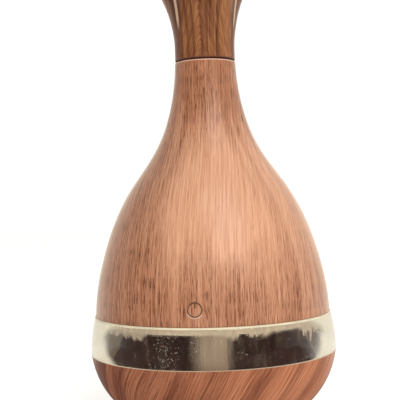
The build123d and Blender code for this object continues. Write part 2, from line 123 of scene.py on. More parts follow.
class Graph:
    """The node tree of one material, ending in a Principled BSDF."""

    def __init__(self, name: str) -> None:
        """Makes an empty material with its output and its shader.

        Args:
            name: Name of the material.
        """
        self.material = bpy.data.materials.new(name)
        self.material.use_nodes = True
        self.tree = self.material.node_tree
        self.tree.nodes.clear()
        self.output = self.tree.nodes.new("ShaderNodeOutputMaterial")
        self.shader = self.tree.nodes.new("ShaderNodeBsdfPrincipled")
        self.tree.links.new(self.shader.outputs[0], self.output.inputs["Surface"])

    def feed(self, socket: bpy.types.NodeSocket, value: object) -> None:
        """Links a signal to an input, or sets the input's own value."""
        if isinstance(value, Signal):
            self.tree.links.new(value.socket, socket)
        elif isinstance(value, tuple) and len(value) == 3 and socket.type == "RGBA":
            socket.default_value = (*value, 1.0)
        else:
            socket.default_value = value

    def node(self, kind: str, settings: dict[str, object] | None = None,
             sockets: dict[str | int, object] | None = None, output: str | int = 0) -> Signal:
        """Adds a node of any type.

        Args:
            kind: The node's type name.
            settings: Its properties, set before its inputs.
            sockets: Values or signals for its inputs, by name or number.
            output: The output wanted, by name or number.

        Returns:
            The signal of that output.
        """
        made = self.tree.nodes.new(kind)
        for key, value in (settings or {}).items():
            setattr(made, key, value)
        for key, value in (sockets or {}).items():
            self.feed(made.inputs[key], value)
        return Signal(self, made.outputs[output])

    def maths(self, operation: str, *values: "Signal | float") -> Signal:
        """Adds a Math node."""
        return self.node("ShaderNodeMath", {"operation": operation}, dict(enumerate(values)))

    def blend(self, share: "Signal | float", first: "Signal | Colour", second: "Signal | Colour") -> Signal:
        """Mixes two colours: share 0 gives the first, 1 the second."""
        settings = {"data_type": "RGBA"}
        return self.node("ShaderNodeMix", settings, {0: share, 6: first, 7: second}, 2)

    @classmethod
    def of_world(cls, world: bpy.types.World) -> "Graph":
        """A graph on a world's own nodes, for its maths alone, with no shader of its own."""
        graph = cls.__new__(cls)
        graph.tree = world.node_tree
        return graph

    def place(self, space: str = "Object") -> tuple[Signal, Signal, Signal]:
        """The coordinates x, y and z: metres on an object, a direction in the world's light."""
        coords = self.node("ShaderNodeTexCoord", output=space)
        return tuple(self.node("ShaderNodeSeparateXYZ", {}, {0: coords}, i) for i in range(3))

    def point(self, x: "Signal | float", y: "Signal | float", z: "Signal | float") -> Signal:
        """A vector from three numbers."""
        return self.node("ShaderNodeCombineXYZ", {}, {0: x, 1: y, 2: z})

    def cloud(self, at: Signal, scale: float = 1.0, detail: float = 2.0, rough: float = 0.5) -> Signal:
        """Fractal noise about 0.5 at a vector."""
        sockets = {"Vector": at, "Scale": scale, "Detail": detail, "Roughness": rough}
        return self.node("ShaderNodeTexNoise", {}, sockets)

    def bump(self, height: Signal, strength: float, distance: float) -> None:
        """Raises the surface by a height signal, distance metres for a height of one."""
        sockets = {"Strength": strength, "Distance": distance, "Height": height}
        self.finish(Normal=self.node("ShaderNodeBump", {}, sockets))

    def layer(self, share: Signal, colour: "Signal | Colour", roughness: float) -> None:
        """Covers the shader with an opaque one where share is 1."""
        over = self.tree.nodes.new("ShaderNodeBsdfPrincipled")
        self.feed(over.inputs["Base Color"], colour)
        self.feed(over.inputs["Roughness"], roughness)
        sockets = {0: share, 1: Signal(self, self.shader.outputs[0]), 2: Signal(self, over.outputs[0])}
        self.feed(self.output.inputs["Surface"], self.node("ShaderNodeMixShader", {}, sockets))

    def let_light_through(self) -> bpy.types.Material:
        """Lets lamps and soft light pass the clear surface unbent, so that what is behind it is lit."""
        surface = Signal(self, self.output.inputs["Surface"].links[0].from_socket)
        clear = self.node("ShaderNodeBsdfTransparent")
        lamps = self.node("ShaderNodeLightPath", output="Is Shadow Ray")
        soft = self.node("ShaderNodeLightPath", output="Is Diffuse Ray")
        sockets = {0: lamps.maths("MAXIMUM", soft), 1: surface, 2: clear}
        self.feed(self.output.inputs["Surface"], self.node("ShaderNodeMixShader", {}, sockets))
        return self.material

    def finish(self, **sockets: object) -> bpy.types.Material:
        """Sets or links the shader's own inputs, with _ for the blanks in their names.

        Returns:
            The material.
        """
        for key, value in sockets.items():
            self.feed(self.shader.inputs[key.replace("_", " ")], value)
        return self.material


# ---------------------------------------------------------------- finishes
class Figure(Enum):
    """How the printed grain runs."""

    UPRIGHT = "fine upright pores"
    SLANTED = "waves that lean over"
    CATHEDRAL = "pointed arches"


@dataclass(frozen=True)
class Spot:
    """Where a shaded point lies on a shape that was turned about the Z axis."""

    x: Signal
    y: Signal
    z: Signal
    radius: Signal                  # distance from the axis
    east: Signal                    # x / radius
    north: Signal                   # y / radius
    sway: Signal                    # slow noise about 0, by which the grain wanders
    across: tuple[Signal, Signal]   # direction from the axis, turned as the grain leans
    arc: Signal                     # arc length round the axis from the front, in widest radii


@dataclass(frozen=True)
class WoodFilm:
    """Wood-grain transfer film under a satin lacquer, on the outside of a brown moulding."""

    name: str
    figure: Figure
    pale: Colour
    mid: Colour
    deep: Colour
    pore: Colour
    fibres: float = 125.0           # fine fibres per radian round the axis
    stretch: float = 60.0           # cells per metre along the grain
    lean: float = 0.0               # turn of the pattern in radians per metre of height
    darkness: float = 0.0           # how much more of the deep tone there is all over
    roughness: float = 0.42
    gloss: float = 0.32             # specular level
    coat: float = 0.22              # weight of the lacquer
    sheen: float = 0.8              # pale edge of the lacquer where one looks along it
    moulding: Colour = (0.17, 0.085, 0.05)
    ledge: Colour = (0.17, 0.085, 0.05)     # bare moulding further out than the tank's bore
    lines: tuple[tuple[float, float, Colour], ...] = ()     # height, half width and colour of edge lines; on the vase a painted highlight and a painted shadow
    key_height: float = 0.0         # middle of the engraved power symbol, 0 for none

    def build(self) -> bpy.types.Material:
        """Makes the material."""
        g = Graph(self.name)
        at = self.spot(g)
        fibre = self.along(g, at, self.fibres, self.stretch).rise(0.40, 0.60)
        streak = self.along(g, at, self.fibres * 0.45, self.stretch * 0.20).rise(0.40, 0.60)
        figure = fibre * 0.68 + streak * 0.32
        if self.figure is Figure.CATHEDRAL:
            figure = figure * 0.3 + self.arches(g, at) * 0.7
        zone = self.zone(g, at)
        light_wood = g.blend(figure, self.mid, self.pale)
        dark_wood = g.blend(figure * 0.75, self.deep, self.mid)
        tone = g.blend(zone * 0.92, light_wood, dark_wood)
        if self.figure is Figure.UPRIGHT:
            # painted shade over the neck, deeper on its left side
            neck = at.z.rise(0.118, 0.140) * (0.14 + at.east.rise(0.1, -0.8) * 0.30)
            tone = g.blend(neck, tone, self.deep)
        dashes = self.along(g, at, self.fibres, self.stretch * 3.2, detail=1.0).rise(0.505, 0.58)
        dashes = dashes * (1.0 - streak * 0.68) * (zone * 0.90 + 0.10)
        tone = self.marks(g, at, g.blend(dashes * 0.90, tone, self.pore))
        outside = self.printed(g, at)
        bare = g.blend(at.radius.rise(*TANK_BORE), self.moulding, self.ledge)
        g.bump(figure * 0.6 - dashes, 0.25, 0.00006)
        return g.finish(Base_Color=g.blend(outside, bare, tone),
                        Roughness=self.roughness + 0.22 * (1 - outside) + 0.08 * (0.5 - figure),
                        Coat_Weight=outside * self.coat, Coat_Roughness=0.38, Specular_IOR_Level=self.gloss,
                        Sheen_Weight=self.sheen, Sheen_Roughness=0.26, Sheen_Tint=(1.0, 0.90, 0.74))

    def spot(self, g: Graph) -> Spot:
        """Works out where the shaded point lies."""
        x, y, z = g.place()
        radius = (x * x + y * y + 1e-9) ** 0.5
        east, north = x / radius, y / radius
        sway = g.cloud(g.point(x * 22.0, y * 22.0, z * 14.0), detail=1.0) - 0.5
        turn = z * self.lean + sway * (0.45 if self.figure is Figure.SLANTED else 0.04)
        leaning = g.node("ShaderNodeVectorRotate", {"rotation_type": "Z_AXIS"},
                         {"Vector": g.point(east, north, 0.0), "Angle": turn})
        across = tuple(g.node("ShaderNodeSeparateXYZ", {}, {0: leaning}, i) for i in range(2))
        arc = g.maths("ARCTAN2", x, y * -1.0) * (radius / VASE_WIDEST) ** 0.75 + sway * 0.03
        return Spot(x, y, z, radius, east, north, sway, across, arc)

    def along(self, g: Graph, at: Spot, cells: float, run: float, detail: float = 2.0) -> Signal:
        """Noise drawn out along the grain.

        The upright figure's front is laid by arc length, so that its lines stay straight over the
        belly. Its back is laid by angle, so that they meet, with fewer and longer cells at the neck.

        Args:
            g: The material's graph.
            at: Where the point lies.
            cells: Cells per radian round the axis.
            run: Cells per metre of height.
            detail: Octaves of finer noise.

        Returns:
            Noise about 0.5.
        """
        wide = g.point(at.across[0] * cells, at.across[1] * cells, at.z * run)
        on_wide = g.cloud(wide, detail=detail, rough=0.6)
        if self.figure is not Figure.UPRIGHT:
            return on_wide
        slim = at.z.rise(*NECK_BEGINS)
        fewer, longer = cells * 0.36, run * 0.55
        narrow = g.point(at.across[0] * fewer, at.across[1] * fewer, at.z * longer)
        by_angle = on_wide * (1 - slim) + g.cloud(narrow, detail=detail, rough=0.6) * slim
        by_arc = g.cloud(g.point(at.arc * cells, 0.0, at.z * run), detail=detail, rough=0.6)
        behind = at.north.rise(-0.05, 0.45)
        return by_angle * behind + by_arc * (1 - behind)

    def zone(self, g: Graph, at: Spot) -> Signal:
        """0 to 1: how dark the wood is. Random patches are the grain's own; on the vase, painted shade makes
        it darkest at the neck, foot and left.
        """
        here = g.point(at.across[0] * 5.0, at.across[1] * 5.0, at.z * 10.0)
        dark = g.cloud(here, detail=2.0).rise(0.42, 0.60)
        if self.figure is Figure.SLANTED:
            # painted shade on the bowl's left and painted light on its right, where the key lamp falls
            dark = dark * 0.55 + at.east.rise(0.30, -0.80) * 0.38 - at.east.rise(0.35, 0.75) * 0.34
        if self.figure is Figure.UPRIGHT:
            # painted shade: darker at the neck, towards the foot and on the left, where less light falls;
            # bright() takes off a patch of painted light
            neck = at.z.rise(0.104, 0.136) * 1.1
            foot = at.z.rise(0.086, 0.048) * 0.70
            left = at.east.rise(-0.05, -0.75) * at.z.rise(0.125, 0.105) * 0.95
            dark = dark * 0.34 + neck + foot + left - self.bright(at)
        return (dark + self.darkness).maths("MINIMUM", 1.0).maths("MAXIMUM", 0.0)

    def bright(self, at: Spot) -> Signal:
        """Painted light: paler over the middle of the belly's front, where the light falls most."""
        sides = at.east.rise(-0.45, 0.05) * at.east.rise(0.65, 0.25)
        return sides * at.z.rise(0.060, 0.075) * at.z.rise(0.112, 0.096) * 0.35

    def arches(self, g: Graph, at: Spot) -> Signal:
        """Fine lines of equal height + reach * |angle from the front|, like stacked pointed arches."""
        angle = g.maths("ARCTAN2", at.x, at.y * -1.0)
        side = (angle * angle + 0.004) ** 0.5
        level = at.z + side * 0.042 + at.sway * 0.012
        return g.cloud(g.point(level * 620.0, side * 5.0, 0.0), detail=2.0).rise(0.40, 0.60)

    def marks(self, g: Graph, at: Spot, tone: Signal) -> Signal:
        """Adds the edge lines (on the vase a painted highlight at the top and a painted shadow at the foot),
        and the creases of painted highlight and shade or the symbol where the piece has them.
        """
        for height, half, colour in self.lines:
            off = (at.z - height).maths("ABSOLUTE")
            tone = g.blend(off.rise(half * 1.4, half * 0.7) * 0.8, tone, colour)
        if self.figure is Figure.CATHEDRAL:
            tone = self.creases(g, at, tone)
        if self.key_height:
            tone = self.symbol(g, at, tone)
        return tone

    def creases(self, g: Graph, at: Spot, tone: Signal) -> Signal:
        """Painted highlight as a pale line down each valley between petals, with painted shade to both sides.
        """
        angle = g.maths("ARCTAN2", at.y, at.x)
        phase = ((angle - VALLEY) * PETALS).maths("COSINE")
        high = at.z.rise(0.158, 0.164)
        # painted shade on the flanks of each valley
        shaded = g.blend(phase.rise(0.55, 0.95) * high * 0.70, tone, self.pore)
        # painted highlight down the valley
        return g.blend(phase.rise(0.978, 0.992) * high * 0.85, shaded, (0.62, 0.42, 0.28))

    def symbol(self, g: Graph, at: Spot, tone: Signal) -> Signal:
        """Darker colour in the engraved ring and stroke of the key, and a painted highlight on the ring's
        lower lip.
        """
        up = at.z - self.key_height
        reach = (at.x * at.x + up * up) ** 0.5
        front = at.y.rise(-0.02, -0.03)
        ring = (reach - KEY_RING).maths("ABSOLUTE").rise(0.30 * MM, 0.22 * MM)
        stroke = at.x.maths("ABSOLUTE").rise(0.28 * MM, 0.20 * MM)
        stroke = stroke * up.rise(0.4 * MM, 0.6 * MM) * up.rise(3.2 * MM, 3.0 * MM)
        # painted highlight: the pale lower lip of the ring, as if lit from above
        lip = (reach - KEY_LIP).maths("ABSOLUTE").rise(0.22 * MM, 0.10 * MM)
        lip = lip * up.rise(-1.0 * MM, -1.9 * MM)
        grooves_darkened = g.blend(ring.maths("MAXIMUM", stroke) * front * 0.85, tone, (0.13, 0.055, 0.028))
        return g.blend(lip * front * 0.6, grooves_darkened, (0.80, 0.66, 0.50))

    def printed(self, g: Graph, at: Spot) -> Signal:
        """1 where the surface faces away from the axis, which the film covers, and 0 inside."""
        facing = g.node("ShaderNodeNewGeometry", output="Normal")
        nx, ny = (g.node("ShaderNodeSeparateXYZ", {}, {0: facing}, i) for i in range(2))
        return ((at.x * nx + at.y * ny) / at.radius).rise(0.02, 0.12)


@dataclass(frozen=True)
class Moulded:
    """Moulded plastic or rubber with a fine spark-eroded texture and slight clouding."""

    name: str
    colour: Colour
    roughness: float = 0.5
    grain: float = 2600.0           # texture cells per metre
    depth: float = 0.00001          # depth of the texture in metres
    shine: float = 0.0              # clear coat
    see_through: float = 0.0        # share of light under the surface

    def build(self) -> bpy.types.Material:
        """Makes the material."""
        g = Graph(self.name)
        at = g.node("ShaderNodeTexCoord", output="Object")
        clouding = g.cloud(at, 90.0)
        fine = g.cloud(at, self.grain, detail=1.0)
        darker = tuple(c * 0.82 for c in self.colour)
        g.bump(fine, 0.5, self.depth)
        return g.finish(Base_Color=g.blend(clouding.rise(0.3, 0.7), darker, self.colour),
                        Roughness=self.roughness + 0.14 * (clouding - 0.5),
                        Coat_Weight=self.shine, Subsurface_Weight=self.see_through,
                        Subsurface_Radius=(0.004, 0.003, 0.002))


@dataclass(frozen=True)
class ClearMoulding:
    """Clear ring with a faint warm tint and scuffs, milky where one looks along its thick wall: partly the
    plastic's own clouding, partly painted reflection of the bright surroundings.
    """

    name: str
    middle: float                   # height of the ring's middle
    half_height: float = 8.0 * MM
    tint: Colour = (0.97, 0.945, 0.88)
    milk: Colour = (0.86, 0.79, 0.60)

    def build(self) -> bpy.types.Material:
        """Makes the material."""
        g = Graph(self.name)
        x, y, z = g.place()
        scuffs = g.cloud(g.point(x * 500.0, y * 500.0, z * 3000.0), detail=2.0)
        g.finish(Base_Color=self.tint, Roughness=0.02 + scuffs.rise(0.55, 0.8) * 0.08,
                 Transmission_Weight=1.0, IOR=1.49, Specular_IOR_Level=0.1)
        # milky layer at grazing angles: partly clouding, partly painted reflection of the bright surroundings
        facing = g.node("ShaderNodeLayerWeight", {}, {"Blend": 0.5}, "Facing")
        off = (z - self.middle) / self.half_height
        waves = g.cloud(g.point(x * 60.0, y * 60.0, z * 60.0), detail=2.0) - 0.5
        thick = (facing + off * off * 0.14 + waves * 0.16).rise(0.47, 0.62)
        # painted shade: the milk darkens towards +X, against the key lamp's light on that side
        shaded = tuple(c * 0.77 for c in self.milk)
        milk = g.blend(x.rise(0.015, 0.040), self.milk, shaded)
        g.layer(thick * 0.93, milk, roughness=0.25)
        return g.let_light_through()


@dataclass(frozen=True)
class Metal:
    """Metal with fine machining or drawing marks along one direction."""

    name: str
    colour: Colour
    roughness: float = 0.3
    marks: tuple[float, float, float] = (300.0, 300.0, 5000.0)

    def build(self) -> bpy.types.Material:
        """Makes the material."""
        g = Graph(self.name)
        x, y, z = g.place()
        mark = g.cloud(g.point(x * self.marks[0], y * self.marks[1], z * self.marks[2]), detail=3.0)
        g.bump(mark, 0.3, 0.000004)
        worn = tuple(c * 0.7 for c in self.colour)
        return g.finish(Base_Color=g.blend(mark.rise(0.3, 0.6), worn, self.colour), Metallic=1.0,
                        Roughness=self.roughness + 0.2 * (mark - 0.5))


@dataclass(frozen=True)
class CircuitBoard:
    """Green solder mask with copper tracks under it and a weave at the edge."""

    name: str
    mask: Colour = (0.012, 0.10, 0.045)
    track: Colour = (0.03, 0.20, 0.085)
    pad: Colour = (0.62, 0.60, 0.55)

    def build(self) -> bpy.types.Material:
        """Makes the material."""
        g = Graph(self.name)
        x, y, _ = g.place()
        cell = g.point((x * 420.0).maths("FLOOR"), (y * 420.0).maths("FLOOR"), 0.0)
        pick = g.node("ShaderNodeTexWhiteNoise", {"noise_dimensions": "3D"}, {"Vector": cell})
        inside_x, inside_y = (x * 420.0).maths("FRACT"), (y * 420.0).maths("FRACT")
        line_x = (inside_x - 0.5).maths("ABSOLUTE").rise(0.22, 0.18)
        line_y = (inside_y - 0.5).maths("ABSOLUTE").rise(0.22, 0.18)
        upright = pick.rise(0.45, 0.55)
        track = line_x * upright + line_y * (1 - upright)
        hole = ((inside_x - 0.5) ** 2.0 + (inside_y - 0.5) ** 2.0).rise(0.09, 0.07) * pick.rise(0.86, 0.88)
        g.bump(track, 0.4, 0.00003)
        colour = g.blend(track, self.mask, self.track)
        return g.finish(Base_Color=g.blend(hole, colour, self.pad), Metallic=hole * 0.9, Roughness=0.32)


@dataclass(frozen=True)
class Cotton:
    """Pressed cotton: long matted fibres, with a tide mark where it dips in the water."""

    name: str
    dry: Colour = (0.86, 0.82, 0.73)
    wet: Colour = (0.66, 0.57, 0.44)

    def build(self) -> bpy.types.Material:
        """Makes the material."""
        g = Graph(self.name)
        x, y, z = g.place()
        fibre = g.cloud(g.point(x * 2200.0, y * 2200.0, z * 260.0), detail=4.0, rough=0.7)
        soaked = (z + (g.cloud(g.point(x * 150.0, y * 150.0, z * 60.0)) - 0.5) * 0.01).rise(0.045, 0.030)
        g.bump(fibre, 0.8, 0.00025)
        colour = g.blend(soaked * 0.7, self.dry, self.wet)
        shade = g.blend(fibre.rise(0.7, 0.3) * 0.35, colour, (0.45, 0.38, 0.28))
        return g.finish(Base_Color=shade, Roughness=0.95, Sheen_Weight=0.4)


@dataclass(frozen=True)
class MistMesh:
    """Steel disc, silvery, with the ring of fine mist holes at its middle as dark dots."""

    name: str
    steel: Colour = (0.62, 0.62, 0.60)

    def build(self) -> bpy.types.Material:
        """Makes the material."""
        g = Graph(self.name)
        x, y, _ = g.place()
        across_x, across_y = (x * 5200.0).maths("FRACT") - 0.5, (y * 5200.0).maths("FRACT") - 0.5
        dots = (across_x * across_x + across_y * across_y).rise(0.09, 0.05)
        middle = (x * x + y * y).rise(0.0000031, 0.0000028)
        holes = dots * middle
        return g.finish(Base_Color=g.blend(holes, self.steel, (0.03, 0.03, 0.03)), Metallic=1.0 - holes,
                        Roughness=0.25 + 0.3 * middle)


@dataclass(frozen=True)
class Haze:
    """Breath of condensation on the inside of the window, hanging from its top in uneven tongues."""

    name: str
    top: float                      # height of the window's upper edge
    colour: Colour = (0.76, 0.62, 0.46)
    holder: float = 0.0055          # x of the breath of it that veils the wick holder

    def build(self) -> bpy.types.Material:
        """Makes the material."""
        g = Graph(self.name)
        x, y, z = g.place()
        edge = g.cloud(g.point(x * 120.0, y * 120.0, z * 60.0), detail=5.0, rough=0.75)
        reach = g.cloud(g.point(x * 28.0, y * 28.0, 0.0), detail=1.0).rise(0.45, 0.66)
        below = self.top - z
        hanging = (below - 0.0016 - (edge - 0.40) * (0.003 + reach * 0.030)).rise(0.0014, -0.0006)
        fibres = g.cloud(g.point(x * 420.0, y * 420.0, z * 90.0), detail=3.0, rough=0.7)
        speckle = g.cloud(g.point(x * 2400.0, y * 2400.0, z * 2400.0), detail=1.0).rise(0.60, 0.70)
        alpha = hanging * (0.40 + 0.4 * fibres) + fibres.rise(0.45, 0.85) * 0.10
        alpha = alpha + speckle * reach * 0.35 * (1 - hanging)
        column = (x - self.holder).maths("ABSOLUTE").rise(0.009, 0.004) * y.rise(0.0, -0.03)
        alpha = alpha + column * (0.16 + fibres * 0.22) * (1 - hanging)
        return g.finish(Base_Color=self.colour, Roughness=0.6, Alpha=alpha)


@dataclass(frozen=True)
class Water:
    """Water in small drops, part clear and part bright with scattered light."""

    name: str

    def build(self) -> bpy.types.Material:
        """Makes the material."""
        g = Graph(self.name)
        at = g.node("ShaderNodeTexCoord", output="Object")
        ripple = g.cloud(at, 2500.0, detail=1.0)
        return g.finish(Base_Color=(0.97, 0.89, 0.78), Roughness=0.01 + ripple * 0.03,
                        Transmission_Weight=0.45, IOR=1.33)


# ---------------------------------------------------------------- meshes
def grid_faces(rows: int, columns: int, closed: bool) -> np.ndarray:
    """The quads of a grid of points, rows by columns.

    Args:
        rows: Number of points along the first parameter.
        columns: Number of points along the second.
        closed: Whether the last column joins the first.

    Returns:
        An array of four point numbers per quad.
    """
    i = np.arange(rows - 1)[:, None]
    j = np.arange(columns if closed else columns - 1)[None, :]
    k = (j + 1) % columns
    corners = (i * columns + j, i * columns + k, (i + 1) * columns + k, (i + 1) * columns + j)
    return np.stack([np.broadcast_to(c, (rows - 1, j.size)) for c in corners], axis=-1).reshape(-1, 4)


def make_piece(name: str, points: np.ndarray, faces: np.ndarray | list[list[int]],
               material: bpy.types.Material, body: str) -> bpy.types.Object:
    """Puts points and faces into a smooth mesh that rides on a body.

    Args:
        name: Name of the piece.
        points: Point coordinates in metres, one row each.
        faces: Point numbers of each face, in the order that makes it face outwards.
        material: Finish of the piece.
        body: Body that carries it.

    Returns:
        The object.
    """
    mesh = bpy.data.meshes.new(name)
    mesh.from_pydata(points.reshape(-1, 3), [], faces)
    mesh.polygons.foreach_set("use_smooth", np.ones(len(mesh.polygons), bool))
    mesh.materials.append(material)
    mesh.validate()
    piece = bpy.data.objects.new(name, mesh)
    bpy.context.scene.collection.objects.link(piece)
    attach(piece, body)
    LOG.info("made %s: %d faces on %s", name, len(mesh.polygons), body)
    return piece


def rounded(corners: list[tuple[float, float]], radius: float, steps: int) -> np.ndarray:
    """A closed outline with its corners rounded: each corner becomes a short quadratic curve.

    A point of the curve is (1-t)^2 * start + 2t(1-t) * corner + t^2 * end, where start and end lie on
    the two sides at the given distance from the corner.

    Args:
        corners: Corner points in order.
        radius: Distance from the corner at which the curve starts and ends.
        steps: Points on each curve.

    Returns:
        The points, one row each.
    """
    corner = np.array(corners, float)
    before, after = np.roll(corner, 1, axis=0) - corner, np.roll(corner, -1, axis=0) - corner
    start = corner + before / np.linalg.norm(before, axis=1)[:, None] * radius
    end = corner + after / np.linalg.norm(after, axis=1)[:, None] * radius
    t = np.linspace(0, 1, steps)[None, :, None]
    curve = (1 - t) ** 2 * start[:, None] + 2 * t * (1 - t) * corner[:, None] + t ** 2 * end[:, None]
    return curve.reshape(-1, 2)


def around(radius: np.ndarray | float, angle: np.ndarray, height: np.ndarray | float) -> np.ndarray:
    """Points (radius cos a, radius sin a, height) for the angle a, as the arguments broadcast."""
    return np.stack(np.broadcast_arrays(radius * np.cos(angle), radius * np.sin(angle), height), axis=-1)


def turned(profile: np.ndarray, segments: int) -> tuple[np.ndarray, np.ndarray]:
    """Carries a closed outline of (radius, height) round the Z axis.

    Args:
        profile: The outline, one row per point, running so that faces point outwards.
        segments: Steps round the axis.

    Returns:
        The points and the quads.
    """
    loop = np.vstack([profile, profile[:1]])
    angle = np.linspace(0, 2 * math.pi, segments, endpoint=False)[None, :]
    faces = grid_faces(len(loop), segments, True) % (len(profile) * segments)
    return around(profile[:, :1], angle, profile[:, 1:]), faces


def dress(material: bpy.types.Material, *nodes: str) -> None:
    """Gives CAD nodes a finish."""
    for name in nodes:
        for slot in frame["nodes"][name].material_slots:
            slot.material = material
        LOG.info("dressed %s in %s", name, material.name)


# ---------------------------------------------------------------- sub-assemblies
@dataclass
class Tank:
    """Bowl, window, foot and rim gasket, with the wet inside of the window."""

    film_gap: float = 0.05 * MM     # haze stands this far inside the window
    drops: int = 700                # half of them in a cluster left of the wick holder
    drop_size: tuple[float, float] = (0.05 * MM, 0.21 * MM)

    def build(self) -> None:
        """Dresses the nodes and makes the haze and the drops."""
        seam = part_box("base_bowl")[1].z
        bowl = WoodFilm("bowl film", Figure.SLANTED, (0.60, 0.255, 0.130), (0.29, 0.084, 0.036),
                        (0.13, 0.034, 0.014), (0.060, 0.016, 0.008), fibres=150.0, lean=-13.0,
                        darkness=0.20, gloss=0.14, coat=0.15, sheen=0.1,
                        moulding=(0.085, 0.026, 0.015), ledge=(0.80, 0.74, 0.58),
                        lines=((seam, 0.2 * MM, (0.50, 0.34, 0.22)),))
        dress(bowl.build(), "base_bowl")
        dress(Moulded("foot rubber", (0.02, 0.018, 0.017), 0.8, 1800.0, 0.00003).build(), "foot_ring")
        dress(Moulded("rim silicone", (0.80, 0.72, 0.52), 0.45, see_through=0.3).build(), "rim_gasket")
        self.window()
        self.haze()
        self.water_drops()

    def window(self) -> None:
        """The clear ring, turned from its outline with softly rounded edges and a bulging side.

        A point of the side is widest - (widest - lip) share^2.2 out, for its share of the height.
        """
        low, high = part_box("window_ring")
        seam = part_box("base_bowl")[1].z
        widest, top, foot = high.x, high.z, low.z
        bore, tongue, lip = 45.5 * MM, 47.3 * MM, 48.2 * MM
        corners = [(tongue, foot), (tongue, seam), (widest, seam), (lip, top), (bore, top), (bore, foot)]
        steps = 5
        outline = rounded(corners, 0.2 * MM, steps)
        share = np.linspace(0.02, 0.98, 24)[:, None]
        side = np.hstack([widest - (widest - lip) * share ** 2.2, seam + (top - seam) * share])
        outline = np.vstack([outline[:3 * steps - 1], side, outline[3 * steps + 1:]])
        points, faces = turned(outline, 256)
        clear = ClearMoulding("window clear", (seam + top) / 2).build()
        piece = make_piece("window_clear", points, faces, clear, "tank")
        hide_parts("window_ring")

    def inner_wall(self) -> tuple[float, float, float]:
        """Radius of the window's bore, and the heights between which it shows."""
        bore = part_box("skirt_seal")[1].x + 0.1 * MM
        return bore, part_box("base_bowl")[1].z - 1.5 * MM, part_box("window_ring")[1].z - 0.3 * MM

    def haze(self) -> None:
        """A thin film just inside the bore, of radius bore - gap."""
        bore, foot, top = self.inner_wall()
        rows, columns = 12, 180
        angle = np.linspace(0.0, 2 * math.pi, columns, endpoint=False)[None, :]
        height = np.linspace(foot, top, rows)[:, None]
        points = around(bore - self.film_gap, angle, height)
        film = Haze("haze", top).build()
        make_piece("window_haze", points, grid_faces(rows, columns, True), film, "tank")

    def water_drops(self) -> None:
        """Flattened half balls on the bore: each drop's dome is its size times the unit dome.

        A point of the unit dome is (sin t cos s, sin t sin s, 0.55 cos t); its first two parts lie
        along the wall and the last points to the axis.
        """
        bore, foot, top = self.inner_wall()
        rng = np.random.default_rng(7)
        near = rng.normal(-math.pi / 2 - 0.25, 0.075, self.drops // 2)
        anywhere = rng.uniform(0, 2 * math.pi, self.drops - self.drops // 2)
        angle = np.concatenate([near, anywhere])
        height = rng.uniform(foot, top, self.drops)
        small, large = self.drop_size
        size = small + (large - small) * rng.uniform(0, 1, self.drops) ** 3
        rings, sides = 4, 8
        s = np.linspace(0, 2 * math.pi, sides, endpoint=False)[None, :]
        t = np.linspace(math.pi / 2, 0.12, rings)[:, None]
        along, up, out = np.sin(t) * np.cos(s), np.sin(t) * np.sin(s), 0.55 * np.cos(t) + 0 * s
        dome = np.stack([along, up, out], axis=-1).reshape(1, -1, 3) * size[:, None, None]
        reach = bore - 0.08 * MM - dome[..., 2]
        round_axis = angle[:, None] + dome[..., 0] / bore
        points = around(reach, round_axis, height[:, None] + dome[..., 1])
        count = rings * sides
        first = count * np.arange(self.drops)[:, None, None]
        domes = (grid_faces(rings, sides, True)[:, ::-1] + first).reshape(-1, 4)
        ends = np.array([np.arange(sides), np.arange(count - 1, count - sides - 1, -1)])
        faces = domes.tolist() + (ends + first).reshape(-1, sides).tolist()
        make_piece("window_drops", points, faces, Water("drop water").build(), "tank")


@dataclass
class Vase:
    """Upper shell with the power key."""

    def build(self) -> None:
        """Dresses the printed shell and the key that is printed with it."""
        low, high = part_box("upper_shell")
        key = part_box("power_button")
        # painted highlight along the shell's top edge, and painted shadow at its lower seam
        top_edge_highlight = (high.z, 0.35 * MM, (0.74, 0.50, 0.38))
        foot_seam_shadow = (low.z, 0.25 * MM, (0.26, 0.13, 0.07))
        film = WoodFilm("vase film", Figure.UPRIGHT, (0.78, 0.425, 0.265), (0.57, 0.260, 0.140),
                        (0.29, 0.100, 0.042), (0.11, 0.030, 0.012), lines=(top_edge_highlight, foot_seam_shadow),
                        key_height=(key[0].z + key[1].z) / 2)
        dress(film.build(), "upper_shell", "power_button")
        dress(Moulded("deck cream", (0.83, 0.76, 0.60), 0.5).build(), "deck")
        dress(Moulded("plunger white", (0.8, 0.8, 0.78), 0.4).build(), "switch_plunger")
        dress(Moulded("skirt silicone", (0.82, 0.76, 0.60), 0.4, see_through=0.3).build(), "skirt_seal")
        dress(Metal("screw zinc", (0.66, 0.66, 0.67), 0.28).build(), "deck_screws", "board_screws")


@dataclass
class Electronics:
    """Board and what stands on it, with the leads up to the disc."""

    def build(self) -> None:
        """Dresses the nodes."""
        dress(CircuitBoard("board mask").build(), "main_board")
        dress(Moulded("chip black", (0.018, 0.018, 0.02), 0.45, 4000.0).build(), "board_chips", "tact_switch")
        dress(Moulded("port plate black", (0.02, 0.02, 0.02), 0.55).build(), "port_plate")
        dress(Moulded("coil ferrite", (0.05, 0.05, 0.055), 0.6, 5000.0, 0.00002).build(), "boost_coil")
        dress(Metal("coil copper", (0.72, 0.30, 0.14), 0.25, (200.0, 200.0, 9000.0)).build(), "coil_winding")
        dress(Moulded("capacitor sleeve", (0.02, 0.03, 0.11), 0.3, shine=0.6).build(), "capacitors")
        dress(Moulded("lamp package", (0.88, 0.82, 0.50), 0.25, shine=0.5).build(), "lamps")
        dress(Metal("socket plate", (0.75, 0.75, 0.74), 0.16, (3000.0, 200.0, 200.0)).build(), "usb_socket")
        dress(Moulded("lead red", (0.42, 0.03, 0.02), 0.4).build(), "lead_live")
        dress(Moulded("lead black", (0.02, 0.02, 0.02), 0.4).build(), "lead_return")
        dress(Moulded("clip cream", (0.83, 0.78, 0.66), 0.5).build(), "lead_clips", "guide_tube")


